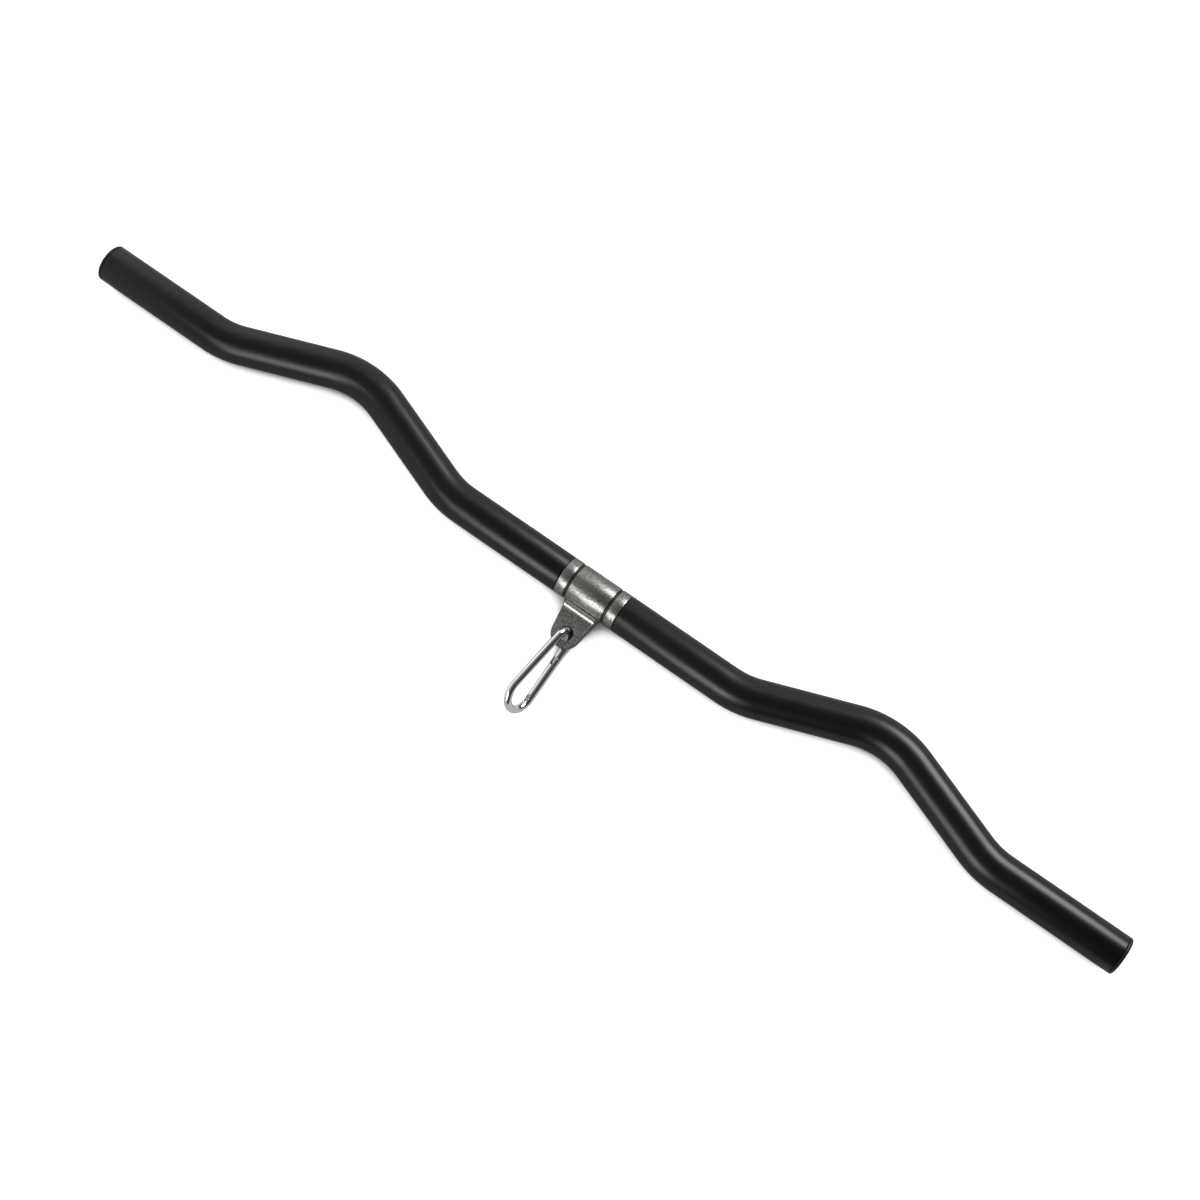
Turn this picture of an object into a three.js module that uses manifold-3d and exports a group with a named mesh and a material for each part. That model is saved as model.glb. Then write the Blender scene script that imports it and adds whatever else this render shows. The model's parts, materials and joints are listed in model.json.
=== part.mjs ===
// A W-bent cable bar with a revolving centre, lying flat at rest. Black rubber covers a bent steel tube.
// A steel swivel turns on two flanged bushes between two collars. A pear-shaped spring hook hangs in the
// lug that is welded to it.
// Millimetres, +Z up, +X along the bar, +Y to the side that the bends stand out to.
import * as THREE from 'three';
import { mergeVertices } from 'three/addons/utils/BufferGeometryUtils.js';
import Module from 'manifold-3d';

const wasm = await Module();
wasm.setup();

const degree = Math.PI / 180;

// Gaps: between pieces that touch, round pieces that run in each other, and past a face that a cut leaves by
const seatGap = 0.3;
const runningGap = 0.3;
const overrun = 1;

// Bar: one tube bent in a plane, with a cover on each half
const gripRadius = 15;
const tubeRadius = 11;
const tubeWall = 2.5;
const centreHalf = 131.6;
const legLength = 112.8;
const endLength = 113.8;
const bendAngle = 20 * degree;
const bendRadius = 73;
const bendStep = 5 * degree;

// End plugs: a cap over the cover's end and a stem in the tube's bore
const capThickness = 2.6;
const capEdgeRadius = 2;
const plugDepth = 18;

// Swivel: a sleeve on two flanged bushes, held between two collars
const sleeveLength = 31.6;
const bushWall = 1;
const bushDepth = 10;
const flangeThickness = 1.4;
const flangeInset = 0.5;
const collarLength = 8;
const edgeChamfer = 0.5;

// Grub screws: one in each collar, on the far side of the bends
const grubRadius = 2;
const grubInset = 0.4;
const socketRadius = 1.15;
const socketDepth = 1.5;

// Lug: a plate welded to the sleeve, with a hole for the hook
const lugThickness = 4.5;
const lugDrop = 35.5;
const lugHoleRadius = 5.5;
const lugEndRadius = 11.5;
const lugRootInset = 0.2;
const lugWaist = 27.4;
const lugFlare = 4.5;
const lugFlareShare = 0.4;
const lugEdge = 0.5;
const weldLeg = 4.6;
const weldLength = 25;
const weldCrown = 0.5;

// Hook: wire bent into a pear, narrow in the lug and wide at the far end
const wireRadius = 3;
const hookTopRadius = 8;
const hookWideRadius = 13.3;
const hookReach = 49.5;
const hookLean = 64.5 * degree;
const hookTurn = 0.9 * degree;
const hookDrawnIn = 2;
const hookAside = 0.7;
const restGap = 0.2;

// Gate: a rod with a slot at each end, on a rivet at the top and a crossing pin at the latch
const gateRadius = 3;
const gateHingeAt = 15;
const latchInset = 0.5;
const gateTip = 2.8;
const latchGap = 0.5;
const noseRun = 0.8;
const tangThickness = 2.2;
const tangHalf = 2.3;
const tangCorner = 0.8;
const tangEnd = 2.2;
const noseReach = 2.4;
const noseHalf = 2.2;
const rivetRadius = 1.2;
const pinRadius = 1;
const pinInset = 0.2;

// Gate spring and its plunger, in the gate's bore behind the tang
const springRadius = 1.3;
const springWire = 0.25;
const springTurns = 7;
const springLength = 9;
const plungerHead = 1.5;
const plungerStem = 0.5;
const plungerStemLength = 3;

// Facets
const tubeSides = 24;
const gripSides = 32;
const boreSides = 24;
const ringSides = 48;
const wireSides = 16;
const smallSides = 12;
const arcSteps = 10;
const edgeSteps = 4;
const socketSides = 6;
const springSides = 5;
const springSteps = 8;
const mergeTolerance = 1e-4;

// Places along the bar and radii that follow from the sizes above
const halfLength = centreHalf + 2 * legLength * Math.cos(bendAngle) + endLength;
const collarStart = sleeveLength / 2 + seatGap + flangeThickness + seatGap;
const coverStart = collarStart + collarLength + seatGap;
const capGap = capThickness + seatGap;
const ringBore = tubeRadius + runningGap;
const bushRadius = ringBore + bushWall;
const sleeveBore = bushRadius + seatGap;

// Where the hook lies: on its gate side, leaning over, with its top arc through the lug's hole and drawn in
// towards the bar
const hookAxisHeight = wireRadius + restGap;
const lugHoleHeight = hookAxisHeight + hookTopRadius * Math.sin(hookLean);
const lugTilt = Math.asin((gripRadius - lugHoleHeight) / lugDrop);

// Steel, rubber and plastic, as the photograph shows them
function rubber() {
  return new THREE.MeshStandardMaterial({ color: 0x1d1d1f, roughness: 0.55, metalness: 0 });
}

function brushedSteel() {
  return new THREE.MeshStandardMaterial({ color: 0xa9a8a4, roughness: 0.35, metalness: 1 });
}

function bareSteel() {
  return new THREE.MeshStandardMaterial({ color: 0x77756f, roughness: 0.5, metalness: 1 });
}

function blackNylon() {
  return new THREE.MeshStandardMaterial({ color: 0x0f0f10, roughness: 0.5, metalness: 0 });
}

function zincPlate() {
  return new THREE.MeshStandardMaterial({ color: 0xd6d8da, roughness: 0.18, metalness: 1 });
}

function blackOxide() {
  return new THREE.MeshStandardMaterial({ color: 0x2a2a2c, roughness: 0.45, metalness: 1 });
}

// Solids: a closed geometry becomes a manifold to cut or join, and comes back as a geometry
function solid(geometry, matrix = new THREE.Matrix4()) {
  const bare = geometry.clone().applyMatrix4(matrix);
  bare.deleteAttribute('normal');
  bare.deleteAttribute('uv');
  const merged = mergeVertices(bare, mergeTolerance);
  const vertProperties = new Float32Array(merged.attributes.position.array);
  const triVerts = new Uint32Array(merged.index.array);
  return new wasm.Manifold(new wasm.Mesh({ numProp: 3, vertProperties, triVerts }));
}

function geometryOf(manifold) {
  const { vertProperties, triVerts } = manifold.getMesh();
  const geometry = new THREE.BufferGeometry();
  geometry.setAttribute('position', new THREE.BufferAttribute(vertProperties, 3));
  geometry.setIndex(new THREE.BufferAttribute(triVerts, 1));
  const facets = geometry.toNonIndexed();
  facets.computeVertexNormals();
  return facets;
}

function piece(name, manifold, material) {
  const mesh = new THREE.Mesh(geometryOf(manifold), material);
  mesh.name = name;
  return mesh;
}

function moved(x, y, z) {
  return new THREE.Matrix4().makeTranslation(x, y, z);
}

// A cylinder whose axis runs along X, Y or Z, centred on a point
function rod(radius, length, sides, axis, centre) {
  const geometry = new THREE.CylinderGeometry(radius, radius, length, sides);
  if (axis === 'x') geometry.rotateZ(-Math.PI / 2);
  if (axis === 'z') geometry.rotateX(Math.PI / 2);
  return solid(geometry, moved(centre.x, centre.y, centre.z));
}

// A block between two corners
function block(low, high) {
  const size = new THREE.Vector3().subVectors(high, low);
  const middle = new THREE.Vector3().addVectors(low, high).multiplyScalar(1 / 2);
  return solid(new THREE.BoxGeometry(size.x, size.y, size.z), moved(middle.x, middle.y, middle.z));
}

// Outlines
function circlePoints(radius, sides) {
  return Array.from({ length: sides }, (_, i) => {
    const angle = (2 * Math.PI * i) / sides;
    return new THREE.Vector2(radius * Math.cos(angle), radius * Math.sin(angle));
  });
}

function disc(radius, sides) {
  return new THREE.Shape(circlePoints(radius, sides));
}

function washer(radius, sides, bore, boreSideCount) {
  const shape = disc(radius, sides);
  shape.holes.push(new THREE.Path(circlePoints(bore, boreSideCount)));
  return shape;
}

function arcPoints(centre, radius, from, to, steps) {
  return Array.from({ length: steps + 1 }, (_, i) => {
    const angle = from + ((to - from) * i) / steps;
    return new THREE.Vector2(centre.x + radius * Math.cos(angle), centre.y + radius * Math.sin(angle));
  });
}

// A line through chosen stations, each a point and the direction there, for a section to follow
class StationLine extends THREE.Curve {
  constructor(stations) {
    super();
    this.stations = stations;
  }
  stationAt(share) {
    return this.stations[Math.round(share * (this.stations.length - 1))];
  }
  getPoint(share, target = new THREE.Vector3()) {
    return target.copy(this.stationAt(share).point);
  }
  getPointAt(share, target = new THREE.Vector3()) {
    return this.getPoint(share, target);
  }
  getTangentAt(share, target = new THREE.Vector3()) {
    return target.copy(this.stationAt(share).tangent);
  }
}

function station(x, y, heading) {
  const point = new THREE.Vector3(x, y, 0);
  const tangent = new THREE.Vector3(Math.cos(heading), Math.sin(heading), 0);
  return { point, tangent };
}

function sweep(section, stations) {
  const extrudePath = new StationLine(stations);
  return new THREE.ExtrudeGeometry(section, { steps: stations.length - 1, extrudePath });
}

function straightExtrusion(shape, depth) {
  return new THREE.ExtrudeGeometry(shape, { depth, steps: 1, bevelEnabled: false });
}

// A profile of (distance along X, radius) points, turned about the X axis
function turned(profile, sides) {
  const points = profile.map(([along, radius]) => new THREE.Vector2(radius, along));
  return new THREE.LatheGeometry(points, sides).rotateZ(-Math.PI / 2);
}

// Half of the bar's middle line, from a start on the centre stretch to a distance short of the bar's end
function halfLine(start, short) {
  const straights = [centreHalf, legLength, legLength, endLength - short];
  const turns = [bendAngle, -2 * bendAngle, bendAngle, 0];
  const stations = [];
  let [x, y, heading, used] = [start, 0, 0, start];
  straights.forEach((straight, i) => {
    const trim = bendRadius * Math.tan(Math.abs(turns[i]) / 2);
    const steps = Math.round(Math.abs(turns[i]) / bendStep);
    stations.push(station(x, y, heading));
    x += (straight - used - trim) * Math.cos(heading);
    y += (straight - used - trim) * Math.sin(heading);
    for (let k = 0; k < steps; k += 1) {
      const turn = turns[i] / steps;
      const chord = 2 * bendRadius * Math.sin(Math.abs(turn) / 2);
      stations.push(station(x, y, heading));
      x += chord * Math.cos(heading + turn / 2);
      y += chord * Math.sin(heading + turn / 2);
      heading += turn;
    }
    used = trim;
  });
  stations.push(station(x, y, heading));
  return stations;
}

function mirrored(stations) {
  const flip = new THREE.Vector3(-1, 1, 1);
  return stations.map(({ point, tangent }) => (
    { point: point.clone().multiply(flip), tangent: tangent.clone().multiply(flip) }
  ));
}

function reversed(stations) {
  return stations.map(({ point, tangent }) => ({ point, tangent: tangent.clone().negate() })).reverse();
}

// Bar tube: bent in one plane, its bore open from end to end
function barTube() {
  const right = halfLine(0, capGap).slice(1);
  const stations = [...reversed(mirrored(right)), ...right];
  const section = washer(tubeRadius, tubeSides, tubeRadius - tubeWall, boreSides);
  return solid(sweep(section, stations));
}

// Rubber cover of one half of the bar
function cover(side) {
  const right = halfLine(coverStart, capGap);
  const section = washer(gripRadius, gripSides, ringBore, boreSides);
  return solid(sweep(section, side > 0 ? right : mirrored(right)));
}

// End plug: a rounded cap and a stem, with a shallow hollow in the stem
function endPlug(side) {
  const stem = tubeRadius - tubeWall - seatGap;
  const face = capThickness;
  const rimCentre = new THREE.Vector2(face - capEdgeRadius, gripRadius - capEdgeRadius);
  const rim = arcPoints(rimCentre, capEdgeRadius, Math.PI / 2, 0, edgeSteps).map(({ x, y }) => [x, y]);
  const hollow = stem / 2;
  const profile = [
    [-plugDepth + hollow, 0], [-plugDepth, hollow], [-plugDepth, stem - edgeChamfer],
    [-plugDepth + edgeChamfer, stem], [0, stem], [0, gripRadius], ...rim, [face, 0],
  ];
  const place = new THREE.Matrix4().makeRotationZ(side > 0 ? 0 : Math.PI);
  place.premultiply(moved(side * (halfLength - capThickness), 0, 0));
  return solid(turned(profile, gripSides), place);
}

// A plain ring along X with its outer edges broken
function ring(from, to, bore, radius, chamfer) {
  const profile = [
    [from, bore], [to, bore], [to, radius - chamfer], [to - chamfer, radius],
    [from + chamfer, radius], [from, radius - chamfer], [from, bore],
  ];
  return solid(turned(profile.reverse(), ringSides));
}

function collar(side) {
  const near = side * collarStart;
  const far = side * (collarStart + collarLength);
  const body = ring(Math.min(near, far), Math.max(near, far), ringBore, gripRadius, edgeChamfer);
  const centre = new THREE.Vector3((near + far) / 2, gripRadius, 0);
  const through = 2 * (gripRadius - tubeRadius);
  return body.subtract(rod(grubRadius + seatGap, through, smallSides, 'y', centre));
}

// Grub screw with a six-sided socket, standing on the tube
function grubScrew(side) {
  const low = tubeRadius + seatGap;
  const high = gripRadius - grubInset;
  const x = side * (collarStart + collarLength / 2);
  const body = rod(grubRadius, high - low, smallSides, 'y', new THREE.Vector3(x, (low + high) / 2, 0));
  const socketCentre = new THREE.Vector3(x, high, 0);
  return body.subtract(rod(socketRadius, 2 * socketDepth, socketSides, 'y', socketCentre));
}

// Flanged bush: its barrel in the sleeve's end, its flange between sleeve and collar
function bush(side) {
  const inner = sleeveLength / 2 - bushDepth;
  const flangeStart = sleeveLength / 2 + seatGap;
  const flangeEnd = flangeStart + flangeThickness;
  const flangeRadius = gripRadius - flangeInset;
  const profile = [
    [inner, ringBore], [flangeEnd, ringBore], [flangeEnd, flangeRadius], [flangeStart, flangeRadius],
    [flangeStart, bushRadius], [inner, bushRadius], [inner, ringBore],
  ];
  const place = new THREE.Matrix4().makeRotationZ(side > 0 ? 0 : Math.PI);
  return solid(turned(profile.reverse(), ringSides), place);
}

function sleeve() {
  return ring(-sleeveLength / 2, sleeveLength / 2, sleeveBore, gripRadius, edgeChamfer);
}

// Lug plate, drawn hanging from the sleeve: X along the bar, -Y away from it, its thickness along Z
function lugOutline() {
  const root = gripRadius - overrun;
  const rootHalf = sleeveLength / 2 - lugRootInset;
  const waistAt = gripRadius + lugFlare;
  const turnAt = gripRadius + lugFlare * lugFlareShare;
  const slope = Math.atan((lugWaist / 2 - lugEndRadius) / (lugDrop - waistAt));
  const shape = new THREE.Shape();
  shape.moveTo(-rootHalf, -root);
  shape.lineTo(-rootHalf, -gripRadius);
  shape.quadraticCurveTo(-lugWaist / 2, -turnAt, -lugWaist / 2, -waistAt);
  shape.absarc(0, -lugDrop, lugEndRadius, Math.PI + slope, 2 * Math.PI - slope, false);
  shape.lineTo(lugWaist / 2, -waistAt);
  shape.quadraticCurveTo(lugWaist / 2, -turnAt, rootHalf, -gripRadius);
  shape.lineTo(rootHalf, -root);
  return shape;
}

function lugPlate() {
  const flat = lugThickness - 2 * lugEdge;
  const plate = new THREE.ExtrudeGeometry(lugOutline(), {
    depth: flat, steps: 1, curveSegments: arcSteps,
    bevelThickness: lugEdge, bevelSize: lugEdge, bevelOffset: -lugEdge, bevelSegments: 1,
  });
  const hole = rod(lugHoleRadius, 2 * lugThickness, boreSides, 'z', new THREE.Vector3(0, -lugDrop, 0));
  const seat = rod(gripRadius + seatGap, 2 * sleeveLength, 2 * ringSides, 'x', new THREE.Vector3());
  return solid(plate, moved(0, 0, -flat / 2)).subtract(hole).subtract(seat);
}

// Weld bead in the corner between sleeve and lug, on the lug's upper or lower face
function weldBead(side) {
  const seat = gripRadius + seatGap;
  const face = lugThickness / 2 + seatGap;
  const from = Math.asin(face / seat);
  const to = from + weldLeg / seat;
  const along = arcPoints(new THREE.Vector2(), seat, from, to, edgeSteps);
  const top = along[along.length - 1];
  const foot = new THREE.Vector2(along[0].x + weldLeg, face);
  const middle = new THREE.Vector2().addVectors(top, foot).multiplyScalar(1 / 2);
  const outward = new THREE.Vector2(foot.y - top.y, top.x - foot.x).negate().setLength(weldCrown);
  const section = new THREE.Shape([...along, middle.add(outward), foot]);
  const geometry = straightExtrusion(section, weldLength);
  const basis = new THREE.Matrix4().makeBasis(
    new THREE.Vector3(0, -1, 0), new THREE.Vector3(0, 0, side), new THREE.Vector3(-side, 0, 0),
  );
  basis.premultiply(moved((side * weldLength) / 2, 0, 0));
  return solid(geometry, basis);
}

// Hook's middle line in its own plane: X across from the gate side to the spine, Y along the gate side
const gateLatchAt = hookReach - latchInset;
const spread = Math.atan((hookWideRadius - hookTopRadius) / hookReach);
const shoulderAt = gateHingeAt - gateRadius - seatGap;
const gateEnd = gateLatchAt + gateTip;
const noseShoulder = gateEnd + latchGap;

function hookLine() {
  const stations = [station(0, shoulderAt, -Math.PI / 2)];
  const topEnd = Math.PI - 2 * spread;
  for (let i = 0; i <= arcSteps; i += 1) {
    const t = (topEnd * i) / arcSteps;
    const x = hookTopRadius * (1 - Math.cos(t));
    stations.push(station(x, -hookTopRadius * Math.sin(t), t - Math.PI / 2));
  }
  const wideStart = Math.PI + 2 * spread;
  const wideEnd = Math.max(0, Math.asin((noseShoulder + noseRun - hookReach) / hookWideRadius));
  for (let i = 0; i <= arcSteps; i += 1) {
    const t = wideStart + ((wideEnd - wideStart) * i) / arcSteps;
    const x = hookWideRadius * (1 - Math.cos(t));
    stations.push(station(x, hookReach + hookWideRadius * Math.sin(t), -Math.PI / 2 - t));
  }
  const noseAcross = hookWideRadius * (1 - Math.cos(wideEnd));
  stations.push(station(noseAcross, noseShoulder, -Math.PI / 2));
  return stations;
}

// A plate in the hook's plane, from its corners, centred on that plane
function tab(points, thickness) {
  const shape = new THREE.Shape(points);
  return solid(straightExtrusion(shape, thickness), moved(0, 0, -thickness / 2));
}

// Tang in the gate's upper slot: its far corners are rounded and push the plunger as the gate opens
function tangPoints() {
  const far = gateHingeAt + tangEnd;
  const inner = new THREE.Vector2(tangHalf - tangCorner, far - tangCorner);
  const outer = new THREE.Vector2(-tangHalf + tangCorner, far - tangCorner);
  const root = shoulderAt - overrun;
  return [
    new THREE.Vector2(-tangHalf, root), new THREE.Vector2(tangHalf, root),
    ...arcPoints(inner, tangCorner, 0, Math.PI / 2, edgeSteps),
    ...arcPoints(outer, tangCorner, Math.PI / 2, Math.PI, edgeSteps),
  ];
}

// Nose in the gate's lower slot, with a notch that the latch pin drops into from the inside
function nosePoints() {
  const notch = pinRadius + runningGap;
  const root = noseShoulder + overrun;
  const tip = gateLatchAt - noseReach;
  return [
    new THREE.Vector2(noseHalf, root), new THREE.Vector2(noseHalf, gateLatchAt + notch),
    new THREE.Vector2(-notch, gateLatchAt + notch), new THREE.Vector2(-notch, gateLatchAt - notch),
    new THREE.Vector2(noseHalf, gateLatchAt - notch), new THREE.Vector2(noseHalf, tip),
    new THREE.Vector2(-noseHalf, tip), new THREE.Vector2(-noseHalf, root),
  ];
}

function hookBody() {
  const wire = solid(sweep(disc(wireRadius, wireSides), hookLine()));
  const rivetAt = new THREE.Vector3(0, gateHingeAt, 0);
  const hole = rod(rivetRadius + runningGap, 2 * tangThickness, smallSides, 'z', rivetAt);
  return wire.add(tab(tangPoints(), tangThickness).subtract(hole)).add(tab(nosePoints(), tangThickness));
}

// Gate: its hinge end is rounded about the rivet, both ends are slotted, and a blind bore holds its spring
const slotHalf = tangThickness / 2 + runningGap;
const slotEnd = gateHingeAt + Math.hypot(tangHalf, tangEnd) + runningGap;
const springBore = springRadius + runningGap;
const plungerTop = gateHingeAt + tangEnd + seatGap;
const springStart = plungerTop + plungerHead + seatGap;
const boreEnd = springStart + springLength + seatGap;

function gate() {
  const length = gateEnd - gateHingeAt + gateRadius;
  const middle = new THREE.Vector3(0, gateEnd - length / 2, 0);
  const round = rod(gateRadius, length, wireSides, 'y', middle);
  const outline = [
    ...arcPoints(new THREE.Vector2(0, gateHingeAt), gateRadius, Math.PI, 2 * Math.PI, arcSteps),
    new THREE.Vector2(gateRadius, gateEnd), new THREE.Vector2(-gateRadius, gateEnd),
  ];
  const wide = gateRadius + overrun;
  const upperSlot = block(
    new THREE.Vector3(-wide, gateHingeAt - wide, -slotHalf), new THREE.Vector3(wide, slotEnd, slotHalf),
  );
  const lowerSlot = block(
    new THREE.Vector3(-wide, gateLatchAt - noseReach - latchGap, -slotHalf),
    new THREE.Vector3(wide, gateEnd + overrun, slotHalf),
  );
  const boreStart = slotEnd - overrun;
  const boreMiddle = new THREE.Vector3(0, (boreStart + boreEnd) / 2, 0);
  const bore = rod(springBore, boreEnd - boreStart, smallSides, 'y', boreMiddle);
  const through = 2 * wide;
  const rivetAt = new THREE.Vector3(0, gateHingeAt, 0);
  const rivetHole = rod(rivetRadius + seatGap, through, smallSides, 'z', rivetAt);
  const pinAt = new THREE.Vector3(0, gateLatchAt, 0);
  const pinHole = rod(pinRadius + seatGap, through, smallSides, 'z', pinAt);
  return round.intersect(tab(outline, through))
    .subtract(upperSlot).subtract(lowerSlot).subtract(bore).subtract(rivetHole).subtract(pinHole);
}

function crossPin(radius, at) {
  return rod(radius, 2 * (gateRadius - pinInset), smallSides, 'z', new THREE.Vector3(0, at, 0));
}

// Plunger: a head on the tang and a stem inside the spring
function plunger() {
  const end = plungerHead + plungerStemLength;
  const profile = [
    [0, 0], [0, springRadius], [plungerHead, springRadius], [plungerHead, plungerStem],
    [end, plungerStem], [end, 0],
  ];
  const place = new THREE.Matrix4().makeRotationZ(Math.PI / 2).premultiply(moved(0, plungerTop, 0));
  return solid(turned(profile, smallSides), place);
}

// Gate spring: a coil along the bore
const coilRadius = springRadius - springWire;
const springPitch = (springLength - 2 * springWire) / springTurns;

function springStations() {
  return Array.from({ length: springTurns * springSteps + 1 }, (_, i) => {
    const angle = (2 * Math.PI * i) / springSteps;
    const y = springStart + springWire + (springPitch * i) / springSteps;
    const point = new THREE.Vector3(coilRadius * Math.cos(angle), y, coilRadius * Math.sin(angle));
    const tangent = new THREE.Vector3(
      -coilRadius * Math.sin(angle), springPitch / (2 * Math.PI), coilRadius * Math.cos(angle),
    ).normalize();
    return { point, tangent };
  });
}

// Least gap between turns of the coil, on its own points at least half a turn apart
function springGap(stations) {
  let least = Infinity;
  stations.forEach((a, i) => stations.slice(i + springSteps / 2).forEach((b) => {
    least = Math.min(least, a.point.distanceTo(b.point) - 2 * springWire);
  }));
  return least;
}

function gateSpring() {
  const stations = springStations();
  console.log(`gate spring: least gap to itself ${springGap(stations).toFixed(2)} mm`);
  return solid(sweep(disc(springWire, springSides), stations));
}

// Assembly, about the middle of the sleeve
function barGroup() {
  const group = new THREE.Group();
  group.add(piece('bar_tube', barTube(), bareSteel()));
  for (const [side, word] of [[-1, 'left'], [1, 'right']]) {
    group.add(piece(`${word}_cover`, cover(side), rubber()));
    group.add(piece(`${word}_end_plug`, endPlug(side), blackNylon()));
    group.add(piece(`${word}_collar`, collar(side), brushedSteel()));
    group.add(piece(`${word}_grub_screw`, grubScrew(side), blackOxide()));
  }
  return group;
}

function swivelGroup() {
  const group = new THREE.Group();
  group.add(piece('swivel_sleeve', sleeve(), brushedSteel()));
  group.add(piece('left_bush', bush(-1), blackNylon()));
  group.add(piece('right_bush', bush(1), blackNylon()));
  group.add(piece('lug_plate', lugPlate(), bareSteel()));
  group.add(piece('upper_weld', weldBead(1), brushedSteel()));
  group.add(piece('lower_weld', weldBead(-1), brushedSteel()));
  group.rotation.x = lugTilt;
  return group;
}

function hookGroup() {
  const group = new THREE.Group();
  group.add(piece('hook_body', hookBody(), zincPlate()));
  group.add(piece('gate', gate(), zincPlate()));
  group.add(piece('gate_rivet', crossPin(rivetRadius, gateHingeAt), zincPlate()));
  group.add(piece('latch_pin', crossPin(pinRadius, gateLatchAt), zincPlate()));
  group.add(piece('gate_plunger', plunger(), bareSteel()));
  group.add(piece('gate_spring', gateSpring(), bareSteel()));
  const along = new THREE.Vector3(Math.sin(hookTurn), -Math.cos(hookTurn), 0);
  const level = new THREE.Vector3(-Math.cos(hookTurn), -Math.sin(hookTurn), 0);
  const upright = new THREE.Vector3(0, 0, 1);
  const across = level.multiplyScalar(Math.cos(hookLean)).addScaledVector(upright, Math.sin(hookLean));
  const square = new THREE.Vector3().crossVectors(across, along);
  const hole = new THREE.Vector3(hookAside, -lugDrop * Math.cos(lugTilt), -lugDrop * Math.sin(lugTilt));
  const origin = hole.addScaledVector(along, hookTopRadius - hookDrawnIn);
  origin.addScaledVector(across, -hookTopRadius);
  const place = new THREE.Matrix4().makeBasis(across, along, square).setPosition(origin);
  place.decompose(group.position, group.quaternion, group.scale);
  return group;
}

// The whole stands on the floor, with the origin under the middle of its box
const bar = new THREE.Group();
bar.add(barGroup(), swivelGroup(), hookGroup());
const box = new THREE.Box3().setFromObject(bar, true);
bar.position.set(-(box.min.x + box.max.x) / 2, -(box.min.y + box.max.y) / 2, -box.min.z);
bar.updateMatrixWorld(true);

export default bar;
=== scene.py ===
# %% [markdown]
# # A revolving cable bar
# A bent tube under black rubber, a steel sleeve that turns in its middle, and a snap hook in the lug that is
# welded to that sleeve. The imported CAD model is the frame: it already has every piece at its real size and
# place, so this lesson only remakes the faceted pieces as smooth ones, right where they are, and gives each a
# finish. The frame comes first.

# %% Load the frame
import json
import math

import bmesh
import bpy
from mathutils import Matrix, Vector


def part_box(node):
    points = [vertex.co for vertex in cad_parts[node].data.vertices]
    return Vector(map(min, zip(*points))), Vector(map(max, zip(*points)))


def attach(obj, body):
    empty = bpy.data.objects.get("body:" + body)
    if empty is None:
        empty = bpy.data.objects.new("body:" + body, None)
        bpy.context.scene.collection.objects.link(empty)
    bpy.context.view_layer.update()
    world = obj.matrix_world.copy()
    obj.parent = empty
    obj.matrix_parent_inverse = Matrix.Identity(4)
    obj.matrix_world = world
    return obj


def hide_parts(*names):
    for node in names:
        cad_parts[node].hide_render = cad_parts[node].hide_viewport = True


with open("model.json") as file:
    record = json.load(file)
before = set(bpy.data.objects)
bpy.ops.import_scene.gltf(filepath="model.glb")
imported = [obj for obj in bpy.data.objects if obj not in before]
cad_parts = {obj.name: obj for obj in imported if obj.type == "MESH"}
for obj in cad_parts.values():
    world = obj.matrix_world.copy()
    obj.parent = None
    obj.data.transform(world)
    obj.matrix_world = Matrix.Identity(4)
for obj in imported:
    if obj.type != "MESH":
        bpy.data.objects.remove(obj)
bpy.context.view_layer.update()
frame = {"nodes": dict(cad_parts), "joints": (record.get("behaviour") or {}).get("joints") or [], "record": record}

MM = 0.001

# %% [markdown]
# ## Sizes that come from the frame
# Measuring the frame keeps a remade piece exactly on the old one. The sleeve's box gives the bar's axis, and
# a collar's box the grip's radius. The joints give the hook's own plane: the plunger slides along the gate,
# and the hook swings about a line square to its plane. The lug's mount says how far the lug is tipped.

# %% Measure the bar, the lug and the hook's plane
sleeve_low, sleeve_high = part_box("swivel_sleeve")
collar_low, collar_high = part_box("right_collar")
cover_low, cover_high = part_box("right_cover")
plug_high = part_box("right_end_plug")[1]

AXIS = (sleeve_low + sleeve_high) / 2
GRIP = (collar_high.z - collar_low.z) / 2
JOINTS = {joint["name"]: joint for joint in frame["joints"]}
MOUNTS = {mount["name"]: mount for mount in frame["record"]["mounts"]}

along = Vector(JOINTS["plunger_slide"]["axis"]).normalized()
square = -Vector(JOINTS["hook_swing"]["axis"]).normalized()
across = along.cross(square)
GATE_HINGE = 15 * MM
hook_corner = Vector(JOINTS["gate_hinge"]["pos_m"]) - along * GATE_HINGE
HOOK_PLACE = Matrix((across, along, square)).transposed().to_4x4()
HOOK_PLACE.translation = hook_corner

lug_face = Vector(MOUNTS["lug_upper_face"]["axis"])
LUG_TILT = math.atan2(-lug_face.y, lug_face.z)
LUG_PLACE = Matrix.Translation(AXIS) @ Matrix.Rotation(LUG_TILT, 4, "X")
print("grip radius", round(GRIP / MM, 2), "mm; lug tipped", round(math.degrees(LUG_TILT), 1), "degrees")
print("hook leans", round(math.degrees(math.asin(across.z)), 1), "degrees off the floor")

# %% [markdown]
# ## The camera
# The photograph looks down on the bar from above its middle, with the bar running from upper left to lower
# right. Fitting the bar's outline gave a focal length and a place. The camera's directions are set as a
# matrix, because three angles would hide which way is which.

# %% Set the camera
PICTURE = 1200
FOCAL_PIXELS = 2073.7
CAMERA_AT = AXIS + Vector((0.2376, -0.2132, 1.4956))
CAMERA_RIGHT = Vector((0.814833, 0.578037, -0.043813))
CAMERA_AHEAD = Vector((-0.151143, 0.138877, -0.978708))
studio = bpy.context.scene.collection

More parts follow.
